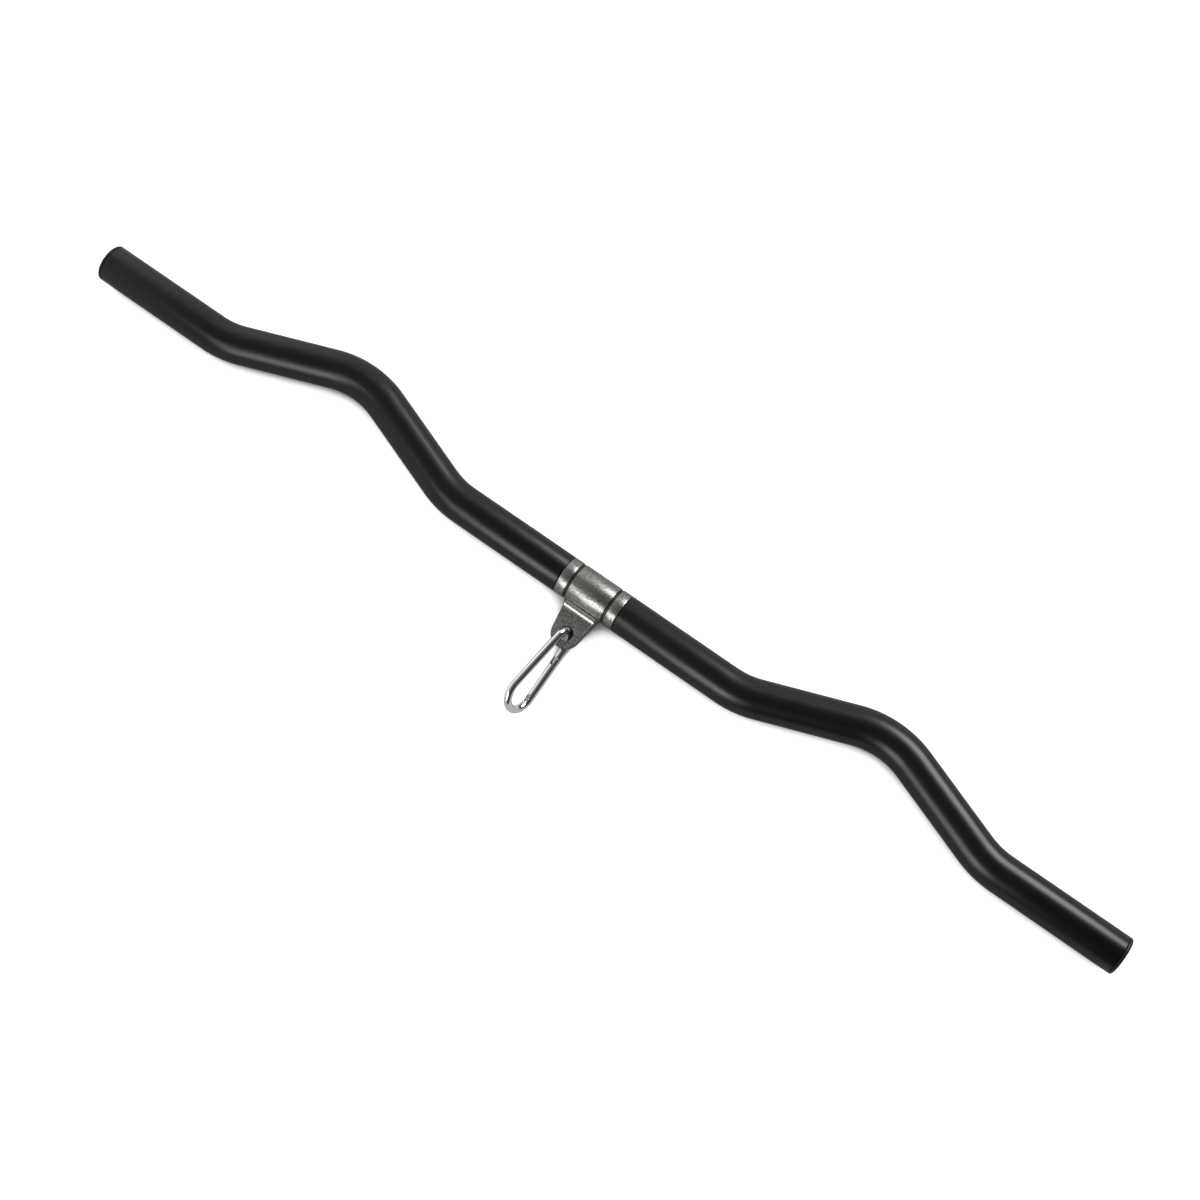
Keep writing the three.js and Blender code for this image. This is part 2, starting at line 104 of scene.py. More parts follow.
camera = bpy.data.objects.new("camera", bpy.data.cameras.new("camera"))
camera.data.lens = camera.data.sensor_width * FOCAL_PIXELS / PICTURE
back = -CAMERA_AHEAD.normalized()
right = (CAMERA_RIGHT - back * CAMERA_RIGHT.dot(back)).normalized()
camera.matrix_world = Matrix((right, back.cross(right), back)).transposed().to_4x4()
camera.location = CAMERA_AT
camera.data.clip_start, camera.data.clip_end = 0.05, 30
studio.objects.link(camera)
bpy.context.scene.camera = camera
print("lens", round(camera.data.lens, 1), "mm")

# %% [markdown]
# ## Building with operators
# Each piece starts as a ring or a small face in a bmesh, and operators pull it into shape. One helper
# finishes a piece: it merges doubles, turns the faces outwards, puts the shape in its place, hangs it on the
# body that carries it and hides the CAD node that it stands for. Its object stays at the origin, so patterns
# that read Object coordinates don't slide. The others draw a ring on, turn it round a bend, and close it.

# %% Helpers: finish a piece, draw a ring on, turn it round a bend
SHARP = math.radians(35)


def finish_piece(name, bm, material, body, node, place=None, sharp=SHARP):
    bmesh.ops.remove_doubles(bm, verts=bm.verts, dist=1e-6)
    bmesh.ops.recalc_face_normals(bm, faces=bm.faces)
    mesh = bpy.data.meshes.new(name)
    bm.to_mesh(mesh)
    bm.free()
    if place is not None:
        mesh.transform(place)
    mesh.materials.append(material)
    mesh.shade_smooth()
    mesh.set_sharp_from_angle(angle=sharp)
    piece = bpy.data.objects.new(name, mesh)
    studio.objects.link(piece)
    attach(piece, body)
    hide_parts(node)
    return piece


def new_part(made, kind):
    return [item for item in made["geom"] if isinstance(item, kind)]


def ring_edges(verts):
    chosen = set(verts)
    return [edge for edge in {e for v in verts for e in v.link_edges} if chosen.issuperset(edge.verts)]


def start_ring(bm, radius, segments, place):
    return bmesh.ops.create_circle(bm, radius=radius, segments=segments, matrix=place)["verts"]


def draw_on(bm, verts, move):
    made = bmesh.ops.extrude_edge_only(bm, edges=ring_edges(verts))
    fresh = new_part(made, bmesh.types.BMVert)
    bmesh.ops.translate(bm, verts=fresh, vec=move)
    return fresh


def bend_on(bm, verts, centre, axis, angle, steps):
    edges = ring_edges(verts)
    made = bmesh.ops.spin(bm, geom=verts + edges, cent=centre, axis=axis, angle=angle, steps=steps)
    return [item for item in made["geom_last"] if isinstance(item, bmesh.types.BMVert)]


def close_ring(bm, verts):
    return bmesh.ops.contextual_create(bm, geom=ring_edges(verts))["faces"]


# %% [markdown]
# Round pieces are easier: a profile of points, each a distance along the bar and a radius, is spun a full
# turn about the bar's axis. Corners of a profile are rounded with a short arc.

# %% Helpers: spin a profile, round its corners
def turned_profile(points, segments, centre):
    bm = bmesh.new()
    verts = [bm.verts.new(centre + Vector((x, 0, radius))) for x, radius in points]
    edges = [bm.edges.new(pair) for pair in zip(verts, verts[1:])]
    bmesh.ops.spin(bm, geom=verts + edges, cent=centre, axis=(1, 0, 0), angle=2 * math.pi, steps=segments,
                   use_merge=True)
    return bm


def arc_profile(x, radius, size, start, end, steps=6):
    for i in range(steps + 1):
        angle = math.radians(start + (end - start) * i / steps)
        yield (x + size * math.sin(angle), radius + size * math.cos(angle))


# %% [markdown]
# ## A material's grain
# Real surfaces are never one flat colour. Every finish here mixes two close colours and two close roughnesses
# by noise, and raises a grain with a bump. The noise reads Object coordinates, in metres, so a scale of 1000
# gives grains of about a millimetre, and a stretch makes lines out of grains.

# %% Helper: a finish with grain
class Finish:
    def __init__(self, name):
        self.material = bpy.data.materials.new(name)
        self.material.use_nodes = True
        self.nodes = self.material.node_tree.nodes
        self.links = self.material.node_tree.links
        self.shader = self.nodes["Principled BSDF"]
        self.place = self.nodes.new("ShaderNodeTexCoord").outputs["Object"]

    def noise(self, scale, detail=3, stretch=(1, 1, 1)):
        mapping = self.nodes.new("ShaderNodeMapping")
        mapping.inputs["Scale"].default_value = stretch
        noise = self.nodes.new("ShaderNodeTexNoise")
        noise.inputs["Scale"].default_value = scale
        noise.inputs["Detail"].default_value = detail
        self.links.new(self.place, mapping.inputs["Vector"])
        self.links.new(mapping.outputs["Vector"], noise.inputs["Vector"])
        return noise.outputs["Fac"]

    def between(self, value, low, high, start=0.35, end=0.65):
        ranged = self.nodes.new("ShaderNodeMapRange")
        self.links.new(value, ranged.inputs["Value"])
        for name, number in (("From Min", start), ("From Max", end), ("To Min", low), ("To Max", high)):
            ranged.inputs[name].default_value = number
        return ranged.outputs["Result"]

    def blend(self, share, first, second):
        mix = self.nodes.new("ShaderNodeMix")
        mix.data_type = "RGBA"
        self.links.new(share, mix.inputs["Factor"])
        for socket, colour in (("A", first), ("B", second)):
            chosen = [s for s in mix.inputs if s.name == socket and s.type == "RGBA"][0]
            if isinstance(colour, bpy.types.NodeSocket):
                self.links.new(colour, chosen)
            else:
                chosen.default_value = (*colour, 1)
        return [s for s in mix.outputs if s.type == "RGBA"][0]

    def bump(self, height, depth):
        bump = self.nodes.new("ShaderNodeBump")
        bump.inputs["Strength"].default_value = 1
        bump.inputs["Distance"].default_value = depth
        self.links.new(height, bump.inputs["Height"])
        return bump.outputs["Normal"]

    def set(self, **sockets):
        for name, value in sockets.items():
            socket = self.shader.inputs[name.replace("_", " ")]
            if isinstance(value, bpy.types.NodeSocket):
                self.links.new(value, socket)
            else:
                socket.default_value = value
        print("finish:", self.material.name)
        return self.material


# %% [markdown]
# ## Black rubber
# The covers are moulded rubber with a satin skin. Its diffuse colour is nearly nothing: what the photograph
# shows is the soft boxes, blurred in the skin. A medium roughness sets how wide those stripes are. A fine
# grain and faint worn patches keep it from looking like lacquer.

# %% Make the rubber
rubber = Finish("black_rubber")
skin_grain = rubber.noise(2600, detail=4)
skin_patch = rubber.noise(55, detail=2)
skin_dark, skin_worn = (0.0014, 0.0014, 0.0015), (0.003, 0.003, 0.0032)
rubber.set(
    Base_Color=rubber.blend(rubber.between(skin_patch, 0, 1), skin_dark, skin_worn),
    Roughness=rubber.between(skin_grain, 0.28, 0.34),
    Specular_IOR_Level=0.42,
    Normal=rubber.bump(rubber.between(skin_grain, 0, 1), 0.000004),
)

# %% [markdown]
# ## Turned steel
# The sleeve and its collars were turned on a lathe and brushed, so fine marks run round them. Stretched noise
# makes these marks: many grains to the millimetre along the bar, and long ones round it. Darker flecks
# between them are the pores and oil marks that the photograph shows.

# %% Make the turned steel
turned = Finish("turned_steel")
lathe_marks = turned.noise(420, detail=4, stretch=(6, 0.8, 0.8))
flecks = turned.noise(900, detail=3)
steel_tone = turned.blend(turned.between(lathe_marks, 0, 1), (0.27, 0.266, 0.252), (0.42, 0.415, 0.4))
turned.set(
    Base_Color=turned.blend(turned.between(flecks, 0, 1, 0.35, 0.52), (0.13, 0.126, 0.115), steel_tone),
    Metallic=1,
    Roughness=turned.between(lathe_marks, 0.28, 0.35),
    Normal=turned.bump(turned.between(lathe_marks, 0, 1), 0.000003),
)

# %% [markdown]
# ## Plate steel
# The lug is cut from plate and left with a dull, grainy face, darker than the turned pieces. Its edges get
# a darker copy of that finish, which is painted shade: it stands for the dark room that a rounded edge mirrors.

# %% Make the plate steel and the painted shade for its edges
def grained_steel(name, dark, light, rough, grain, stretch, depth):
    finish = Finish(name)
    grains = finish.noise(grain, detail=5, stretch=stretch)
    cloud = finish.noise(160, detail=2)
    return finish.set(
        Base_Color=finish.blend(finish.between(grains, 0, 1), dark, light),
        Metallic=1,
        Roughness=finish.between(cloud, *rough),
        Normal=finish.bump(finish.between(grains, 0, 1), depth),
    )


plate = grained_steel("plate_steel", dark=(0.12, 0.118, 0.11), light=(0.42, 0.415, 0.4),
                      rough=(0.42, 0.52), grain=1000, stretch=(1.2, 0.6, 1), depth=0.000012)
# A darker copy of the plate steel, for the lug's edges: painted shade.
painted_edge_shade = grained_steel("painted_shade_edge_steel", dark=(0.05, 0.049, 0.046), light=(0.15, 0.148, 0.14),
                         rough=(0.45, 0.6), grain=1200, stretch=(1, 1, 0.6), depth=0.00002)

# %% [markdown]
# ## Bright zinc
# The hook is bent wire with a bright plating. It mirrors the room, so its shape shows as long white and dark
# lines. A slow, very shallow waviness in the bump keeps those lines from being ruler straight.

# %% Make the zinc
zinc = Finish("bright_zinc")
plating_wave = zinc.noise(140, detail=2)
plating_spots = zinc.noise(1500, detail=2)
zinc.set(
    Base_Color=zinc.blend(zinc.between(plating_spots, 0, 1), (0.82, 0.825, 0.83), (0.93, 0.93, 0.93)),
    Metallic=1,
    Roughness=zinc.between(plating_spots, 0.1, 0.16),
    Normal=zinc.bump(plating_wave, 0.00003),
)

# %% [markdown]
# ## The small finishes
# Black nylon for the end plugs and bushes, weld metal, black oxide for the grub screws and dull drawn steel
# for the pieces that hide inside. The drawn steel is made darker than the other steel: painted shade, so that
# the plunger and spring read as a dark pocket in the gate's slots. These finishes differ in their numbers, so
# one function makes them.

# %% Make the small finishes
def plain_finish(name, dark, light, metallic, rough, grain, depth):
    finish = Finish(name)
    grains = finish.noise(grain, detail=4)
    return finish.set(
        Base_Color=finish.blend(finish.between(grains, 0, 1), dark, light),
        Metallic=metallic,
        Roughness=finish.between(grains, *rough),
        Normal=finish.bump(finish.between(grains, 0, 1), depth),
    )


nylon = plain_finish("black_nylon", dark=(0.003, 0.003, 0.003), light=(0.006, 0.006, 0.006), metallic=0,
                     rough=(0.42, 0.5), grain=1800, depth=0.000008)
weld_metal = plain_finish("weld_metal", dark=(0.55, 0.545, 0.52), light=(0.8, 0.79, 0.77), metallic=1,
                          rough=(0.32, 0.4), grain=700, depth=0.000006)
oxide = plain_finish("black_oxide", dark=(0.02, 0.02, 0.022), light=(0.045, 0.045, 0.048), metallic=1,
                     rough=(0.35, 0.45), grain=1500, depth=0.00001)
# Darker than the other steel: painted shade, for the dark pocket in the gate's slots.
painted_inner_shade = plain_finish("inner_steel_painted_shade", dark=(0.12, 0.115, 0.105), light=(0.22, 0.215, 0.2), metallic=1,
                     rough=(0.35, 0.5), grain=1200, depth=0.00001)
for node in ("bar_tube", "gate_plunger", "gate_spring"):
    frame["nodes"][node].data.materials.clear()
    frame["nodes"][node].data.materials.append(painted_inner_shade)

# %% [markdown]
# ## The rubber covers
# A cover is a tube that follows the bent bar. One ring is drawn straight on, spun round each bend and drawn
# on again, which is just how the bar itself was bent. Solidify then gives it the rubber's real thickness, and
# a small bevel softens the cut lips. The other cover is the same ring drawn the other way.

# %% Make the two covers
CENTRE_HALF, LEG, END = 131.6 * MM, 112.8 * MM, 113.8 * MM
BEND, BEND_RADIUS = math.radians(20), 73 * MM
GRIP_SEGMENTS = 72
BEND_STEPS = 14
COVER_WALL = 3.7 * MM
LIP = 0.6 * MM
cover_start = cover_low.x
cap_gap = plug_high.x - cover_high.x


def bar_cover(side):
    bm = bmesh.new()
    heading, travelled = 0, cover_start
    centre = AXIS + Vector((side * cover_start, 0, 0))
    square_on = Matrix.Translation(centre) @ Matrix.Rotation(math.pi / 2, 4, "Y")
    ring = start_ring(bm, GRIP, GRIP_SEGMENTS, square_on)
    for straight, turn in ((CENTRE_HALF, BEND), (LEG, -2 * BEND), (LEG, BEND), (END - cap_gap, 0)):
        trim = BEND_RADIUS * math.tan(abs(turn) / 2)
        move = Vector((side * math.cos(heading), math.sin(heading), 0)) * (straight - travelled - trim)
        ring = draw_on(bm, ring, move)
        centre = centre + move
        if turn:
            inward = Vector((-side * math.sin(heading), math.cos(heading), 0)) * math.copysign(1, turn)
            pivot = centre + inward * BEND_RADIUS
            ring = bend_on(bm, ring, pivot, (0, 0, side), turn, BEND_STEPS * round(abs(turn) / BEND))
            centre = pivot + Matrix.Rotation(side * turn, 3, "Z") @ (centre - pivot)
            heading += turn
        travelled = trim
    return bm, centre


for side, word in ((-1, "left"), (1, "right")):
    bm, tip = bar_cover(side)
    cover = finish_piece(f"{word}_rubber_cover", bm, rubber.material, "bar", f"{word}_cover")
    wall = cover.modifiers.new("wall", "SOLIDIFY")
    wall.thickness, wall.offset = COVER_WALL, -1
    wall.use_even_offset = True
    lips = cover.modifiers.new("lips", "BEVEL")
    lips.width, lips.segments, lips.limit_method = LIP, 3, "ANGLE"
    lips.angle_limit = math.radians(50)
    frame_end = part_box(f"{word}_cover")[1 if side > 0 else 0]
    print(cover.name, "ends at x", round(tip.x / MM, 2), "frame says", round(frame_end.x / MM, 2))

# %% [markdown]
# ## The end plugs
# A plug closes each end: a rounded black cap over the cover's end, flush with it, and a stem down the tube.
# It is round all over, so a profile spun about the bar's axis makes it in one go.

# %% Make the two plugs
TUBE_BORE = 8.5 * MM
PLUG_DEPTH = 18 * MM
SEAT_GAP = 0.3 * MM
CAP_THICKNESS = plug_high.x - cover_high.x - SEAT_GAP
CAP_ROUND = 2 * MM
CAP_BREAK = 0.25 * MM
HOLLOW_DEPTH, HOLLOW_FLARE, STEM_CHAMFER = 5 * MM, 1 * MM, 0.5 * MM
DISH_RIM, DISH_RADIUS, DISH_DEPTH = 7.4 * MM, 6.8 * MM, 0.4 * MM

for side, word in ((-1, "left"), (1, "right")):
    stem = TUBE_BORE - SEAT_GAP
    inner_end = -PLUG_DEPTH
    hollow_end = inner_end + HOLLOW_DEPTH
    profile = [(hollow_end, 0), (hollow_end, stem / 2), (inner_end, stem / 2 + HOLLOW_FLARE)]
    profile += [(inner_end, stem - STEM_CHAMFER), (inner_end + STEM_CHAMFER, stem), (0, stem)]
    profile += [(0, GRIP - CAP_BREAK), (CAP_BREAK, GRIP)]
    profile += [*arc_profile(CAP_THICKNESS - CAP_ROUND, GRIP - CAP_ROUND, CAP_ROUND, 0, 90)]
    profile += [(CAP_THICKNESS, DISH_RIM)]
    profile += [*arc_profile(CAP_THICKNESS, DISH_RADIUS, DISH_DEPTH, 20, -90, 4)]
    profile += [(CAP_THICKNESS - DISH_DEPTH, 0)]
    bm = turned_profile(profile, 64, Vector((0, 0, 0)))
    place = Matrix.Translation(Vector((side * (plug_high.x - CAP_THICKNESS), AXIS.y, AXIS.z)))
    place = place @ Matrix.Rotation(0 if side > 0 else math.pi, 4, "Z")
    plug = finish_piece(f"{word}_plug", bm, nylon, "bar", f"{word}_end_plug", place)
    print(plug.name, "faces", len(plug.data.polygons))

# %% [markdown]
# ## Sleeve, collars and bushes
# These are rings, so each is a closed profile spun about the axis. Real turned rings have a broken edge,
# which catches a thin line of light, so each corner that shows gets small steps of a round. Between the
# sleeve and each collar runs the thin flange of a black bush, a little lower than the steel.

# %% Make the rings
EDGE = 0.5 * MM
RING_BORE = 11.3 * MM
BARREL = 12.3 * MM
SLEEVE_BORE = 12.6 * MM


def ring_profile(start, end, bore, radius, edge):
    outer = [*arc_profile(start + edge, radius - edge, edge, -90, 0, 3)]
    outer += [*arc_profile(end - edge, radius - edge, edge, 0, 90, 3)]
    return [(start, bore), *outer, (end, bore), (start, bore)]


def ring_piece(name, profile, material, body, node):
    bm = turned_profile(profile, 96, AXIS)
    piece = finish_piece(name, bm, material, body, node, sharp=math.radians(50))
    print(piece.name, "faces", len(piece.data.polygons))
    return piece


ring_piece("turning_sleeve", ring_profile(sleeve_low.x, sleeve_high.x, SLEEVE_BORE, GRIP, EDGE),
           turned.material, "swivel", "swivel_sleeve")
collars = {}
for side, word in ((-1, "left"), (1, "right")):
    low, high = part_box(f"{word}_collar")
    collars[word] = ring_piece(f"{word}_stop_collar", ring_profile(low.x, high.x, RING_BORE, GRIP, EDGE),
                               turned.material, "bar", f"{word}_collar")
    low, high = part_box(f"{word}_bush")
    flange = (high.z - low.z) / 2
    outer_x, inner_x = (high.x, low.x) if side > 0 else (low.x, high.x)
    seat_x = side * (sleeve_high.x + SEAT_GAP)
    profile = [(inner_x, RING_BORE), (outer_x, RING_BORE), (outer_x, flange), (seat_x, flange)]
    profile += [(seat_x, BARREL), (inner_x, BARREL), (inner_x, RING_BORE)]
    ring_piece(f"{word}_flanged_bush", profile, nylon, "swivel", f"{word}_bush")

# %% [markdown]
# ## Grub screws
# Each collar is held by a grub screw in a hole in its far side. A Boolean with a plain rod cuts the hole, and
# the screw is a short rod of its own, with a six-sided socket cut into its outer end in the same way.

# %% Cut the holes and make the screws
def rod(radius, length, segments, place):
    bm = bmesh.new()
    bmesh.ops.create_cone(bm, cap_ends=True, segments=segments, radius1=radius, radius2=radius, depth=length,
                          matrix=place)
    return bm


def cut(piece, bm, how="DIFFERENCE"):
    tool_mesh = bpy.data.meshes.new("tool")
    bm.to_mesh(tool_mesh)
    bm.free()
    tool = bpy.data.objects.new("tool", tool_mesh)
    studio.objects.link(tool)
    shape = piece.modifiers.new("cut", "BOOLEAN")
    shape.object, shape.operation, shape.solver = tool, how, "EXACT"
    result = bpy.data.meshes.new_from_object(piece.evaluated_get(bpy.context.evaluated_depsgraph_get()))
    piece.modifiers.remove(shape)
    old, piece.data = piece.data, result
    result.name = piece.name
    bpy.data.meshes.remove(old)
    bpy.data.objects.remove(tool)
    bpy.data.meshes.remove(tool_mesh)
    result.set_sharp_from_angle(angle=SHARP)


SOCKET_RADIUS, SOCKET_REACH = 1.15 * MM, 3 * MM
for word in ("left", "right"):
    low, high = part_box(f"{word}_grub_screw")
    upright = Matrix.Translation((low + high) / 2) @ Matrix.Rotation(-math.pi / 2, 4, "X")
    radius, length = (high.x - low.x) / 2, high.y - low.y
    cut(collars[word], rod(radius + SEAT_GAP, 3 * length, 32, upright))
    bm = rod(radius, length, 32, Matrix.Identity(4))
    screw = finish_piece(f"{word}_set_screw", bm, oxide, "bar", f"{word}_grub_screw", upright)
    cut(screw, rod(SOCKET_RADIUS, SOCKET_REACH, 6, upright @ Matrix.Translation((0, 0, length / 2))))
    print(screw.name, "faces", len(screw.data.polygons), "collar faces", len(collars[word].data.polygons))

# %% [markdown]
# ## The lug
# The lug is a plate, drawn as a few corners. Vertex bevels round the corners in the plate's own plane: a
# large one turns its two lower corners into one round end, and a small one makes the flare where it widens to
# the sleeve. Then it is given its thickness, and a rod cuts the hole. A bevel rounds every edge. The edges,
# the hole's wall and the rounds take the darker finish, which is painted shade.

# %% Make the lug
LUG_THICK, LUG_DROP, LUG_END, LUG_HOLE = 4.5 * MM, 35.5 * MM, 11.5 * MM, 5.5 * MM
LUG_ROOT, LUG_WAIST, LUG_FLARE = 15.6 * MM, 13.7 * MM, 4.5 * MM
LUG_TOP = GRIP - 0.35 * MM
FLARE_OUT, FLARE_ROUND = 0.4 * MM, 2.4 * MM
LUG_EDGE = 0.6 * MM

waist_y = -(GRIP + LUG_FLARE)
slope = math.atan((LUG_WAIST - LUG_END) / (LUG_DROP + waist_y))
bottom = -(LUG_DROP + LUG_END)
corner_x = LUG_END * math.tan((math.pi / 2 - slope) / 2)
flare_y = -(GRIP + 0.45 * LUG_FLARE)
bm = bmesh.new()
half = [(LUG_ROOT, -LUG_TOP), (LUG_ROOT, -GRIP), (LUG_WAIST + FLARE_OUT, flare_y), (corner_x, bottom)]
outline = [bm.verts.new((x, y, -LUG_THICK / 2)) for x, y in half + [(-x, y) for x, y in reversed(half)]]
face = bm.faces.new(outline)
flares = [v for v in bm.verts if abs(v.co.y - flare_y) < 1e-6]
ends = [v for v in bm.verts if abs(v.co.y - bottom) < 1e-6]
for corners, offset, steps in ((flares, FLARE_ROUND, 6), (ends, corner_x * 0.999, 16)):
    bmesh.ops.bevel(bm, geom=corners, offset=offset, segments=steps, profile=0.5, affect="VERTICES",
                    material=-1)
made = bmesh.ops.extrude_face_region(bm, geom=bm.faces[:])
bmesh.ops.translate(bm, verts=new_part(made, bmesh.types.BMVert), vec=(0, 0, LUG_THICK))
lug = finish_piece("welded_lug", bm, plate, "swivel", "lug_plate", LUG_PLACE)
cut(lug, rod(LUG_HOLE, 3 * LUG_THICK, 64, LUG_PLACE @ Matrix.Translation((0, -LUG_DROP, 0))))
# The sides and the hole's wall take the darker copy: painted shade.
lug.data.materials.append(painted_edge_shade)
for face in lug.data.polygons:
    face.material_index = 0 if abs(face.normal.dot(lug_face)) > 0.9 else 1
# The bevel's rounds take the darker copy too: painted shade.
edges = lug.modifiers.new("edges", "BEVEL")
edges.width, edges.segments, edges.limit_method = LUG_EDGE, 3, "ANGLE"
edges.angle_limit = math.radians(60)
edges.material = 1
print("lug faces", len(lug.data.polygons))

# %% [markdown]
# ## The weld beads
# A weld bead is a row of small overlapping pools, so it is a rod whose rings swell and shrink a very little
# as it is drawn on, and whose ends taper off. It fills the corner between the sleeve and the lug.

# %% Make the two beads
WELD_HALF = 13.9 * MM
WELD_RADIUS = 2.7 * MM
WELD_STEPS = 96
POOL, POOL_SWELL = 1.3 * MM, 0.005
WELD_END_TAPER = 0.7 * MM
WELD_BELOW_GRIP, WELD_SUNK = 1.9 * MM, 0.1 * MM

for side, word in ((1, "upper"), (-1, "lower")):
    bm = bmesh.new()
    centre_y = -(GRIP + WELD_BELOW_GRIP)
    centre_z = side * (LUG_THICK / 2 - WELD_SUNK)
    ring, size = None, 1
    for i in range(WELD_STEPS + 1):
        x = -WELD_HALF + 2 * WELD_HALF * i / WELD_STEPS
        taper = min(1, max(0, (WELD_HALF - abs(x)) / WELD_END_TAPER) ** 0.5 + 0.02)
        wanted = WELD_RADIUS * taper * (1 + POOL_SWELL * math.cos(2 * math.pi * x / POOL))
        if ring is None:
            place = Matrix.Translation((x, centre_y, centre_z)) @ Matrix.Rotation(math.pi / 2, 4, "Y")
            ring, size = start_ring(bm, wanted, 32, place), wanted
            close_ring(bm, ring)
            continue
        ring = draw_on(bm, ring, (2 * WELD_HALF / WELD_STEPS, 0, 0))
        middle = Matrix.Translation((-x, -centre_y, -centre_z))
        bmesh.ops.scale(bm, verts=ring, vec=(1, wanted / size, wanted / size), space=middle)
        size = wanted
    close_ring(bm, ring)
    bead = finish_piece(f"{word}_weld_bead", bm, weld_metal, "swivel", f"{word}_weld",
                        LUG_PLACE, sharp=math.radians(80))
    print(bead.name, "faces", len(bead.data.polygons))

# %% [markdown]
# ## The hook's wire
# The hook is one wire, bent in its own plane: round the narrow top, down the spine, round the wide end. It
# is drawn like the covers. At both ends the wire is forged flat: its last rings are squeezed to a tongue, one
# for the gate's rivet and one with a notch that catches the gate's latch pin.

# %% Draw the wire
WIRE = 3 * MM
TOP_RADIUS, WIDE_RADIUS, REACH = 8 * MM, 13.3 * MM, 49.5 * MM
SPREAD = math.atan((WIDE_RADIUS - TOP_RADIUS) / REACH)
SHOULDER = 11.7 * MM
NOSE_SHOULDER, NOSE_TIP, LATCH = 52.3 * MM, 46.6 * MM, 49 * MM
PAST_NOSE, PAST_RIVET = 0.8 * MM, 2.2 * MM
NOSE_TURN = math.asin((NOSE_SHOULDER + PAST_NOSE - REACH) / WIDE_RADIUS)
TONGUE_THICK = 2.2 * MM
NOSE_HALF, NOSE_DOME = 2.2 * MM, 0.5 * MM
HINGE_HALF, HINGE_DOME = 2.3 * MM, 0.8 * MM
NOTCH_MIDDLE, NOTCH_SIZE = (0.7 * MM, LATCH, 0), (4 * MM, 2.6 * MM, 6 * MM)


def tongue(bm, ring, across_at, start, end, half, thick, dome):
    """Squeeze a ring of the wire to a flat tongue, and draw it from start to end along the gate."""
    middle = Matrix.Translation((-across_at, 0, 0))
    way = math.copysign(1, end - start)
    first, width, depth = start, WIRE, WIRE
    for share, squeeze in ((0.25, 0.5), (0.55, 0.85), (0.9, 1)):
        ring = draw_on(bm, ring, (0, start + way * share * MM - first, 0))
        first = start + way * share * MM
        new_width = WIRE + (half - WIRE) * squeeze
        new_depth = WIRE + (thick / 2 - WIRE) * squeeze
        bmesh.ops.scale(bm, verts=ring, vec=(new_width / width, 1, new_depth / depth), space=middle)
        width, depth = new_width, new_depth
    ring = draw_on(bm, ring, (0, end - way * dome - first, 0))
    for share, shrink in ((0.7, (0.85, 1, 0.92)), (0.3, (0.6, 1, 0.85))):
        ring = draw_on(bm, ring, (0, way * dome * share, 0))
        bmesh.ops.scale(bm, verts=ring, vec=shrink, space=middle)
    close_ring(bm, ring)


bm = bmesh.new()
place = Matrix.Translation((0, SHOULDER, 0)) @ Matrix.Rotation(math.pi / 2, 4, "X")
hinge_ring = start_ring(bm, WIRE, 32, place)
ring = draw_on(bm, hinge_ring, (0, -SHOULDER, 0))
ring = bend_on(bm, ring, (TOP_RADIUS, 0, 0), (0, 0, 1), math.pi - 2 * SPREAD, 28)
heading = Matrix.Rotation(math.pi - 2 * SPREAD, 3, "Z") @ Vector((0, -1, 0))
for _ in range(6):
    ring = draw_on(bm, ring, heading * (REACH / 6))
ring = bend_on(bm, ring, (WIDE_RADIUS, REACH, 0), (0, 0, 1), math.pi + 2 * SPREAD - NOSE_TURN, 36)
arc_end = Vector((WIDE_RADIUS * (1 - math.cos(NOSE_TURN)), REACH + WIDE_RADIUS * math.sin(NOSE_TURN), 0))
nose = Vector((arc_end.x, NOSE_SHOULDER, 0))
ring = draw_on(bm, ring, nose - arc_end)
bmesh.ops.rotate(bm, verts=ring, cent=nose, matrix=Matrix.Rotation(NOSE_TURN, 3, "Z"))
tongue(bm, ring, nose.x, NOSE_SHOULDER, NOSE_TIP, NOSE_HALF, TONGUE_THICK, NOSE_DOME)
hinge_ring = [v for v in bm.verts if abs(v.co.y - SHOULDER) < 1e-7 and abs(v.co.x) <= WIRE * 1.01]
tongue(bm, hinge_ring, 0, SHOULDER, GATE_HINGE + PAST_RIVET, HINGE_HALF, TONGUE_THICK, HINGE_DOME)
hook = finish_piece("hook_wire", bm, zinc.material, "hook", "hook_body", HOOK_PLACE)
notch = bmesh.new()
bmesh.ops.create_cube(notch, size=1, matrix=HOOK_PLACE @ Matrix.Translation(NOTCH_MIDDLE)
                      @ Matrix.Diagonal((*NOTCH_SIZE, 1)))
cut(hook, notch)
hook_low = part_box("hook_body")[0]
print("hook faces", len(hook.data.polygons), "frame's hook reaches y", round(hook_low.y / MM, 2),
      "this one", round(min(v.co.y for v in hook.data.vertices) / MM, 2))

# %% [markdown]
# ## The gate
# The gate is a short rod with a slot at each end. Its hinge end is rounded about the rivet so that it can
# turn. It is easiest cut as a fitter would: a rod, met with a rounded plate, and two slots sawn out. The
# plate is a hair wider than the rod and has other facets, because a Boolean fails where two faces only just
# touch.

# %% Make the gate, its rivet and its latch pin
GATE_END = 51.8 * MM
SLOT = 2.8 * MM
HINGE_SLOT_END, LATCH_SLOT_START = 18.5 * MM, 46.1 * MM
PAST = 5 * MM
HAIR = 0.03 * MM
GATE_EDGE, PIN_EDGE = 0.25 * MM, 0.2 * MM
RIVET_RADIUS, PIN_RADIUS, PIN_LENGTH = 1.2 * MM, 1 * MM, 5.6 * MM


def block(low, high):
    bm = bmesh.new()
    size, middle = Vector(high) - Vector(low), (Vector(high) + Vector(low)) / 2
    place = HOOK_PLACE @ Matrix.Translation(middle) @ Matrix.Diagonal((*size, 1))
    bmesh.ops.create_cube(bm, size=1, matrix=place)
    return bm


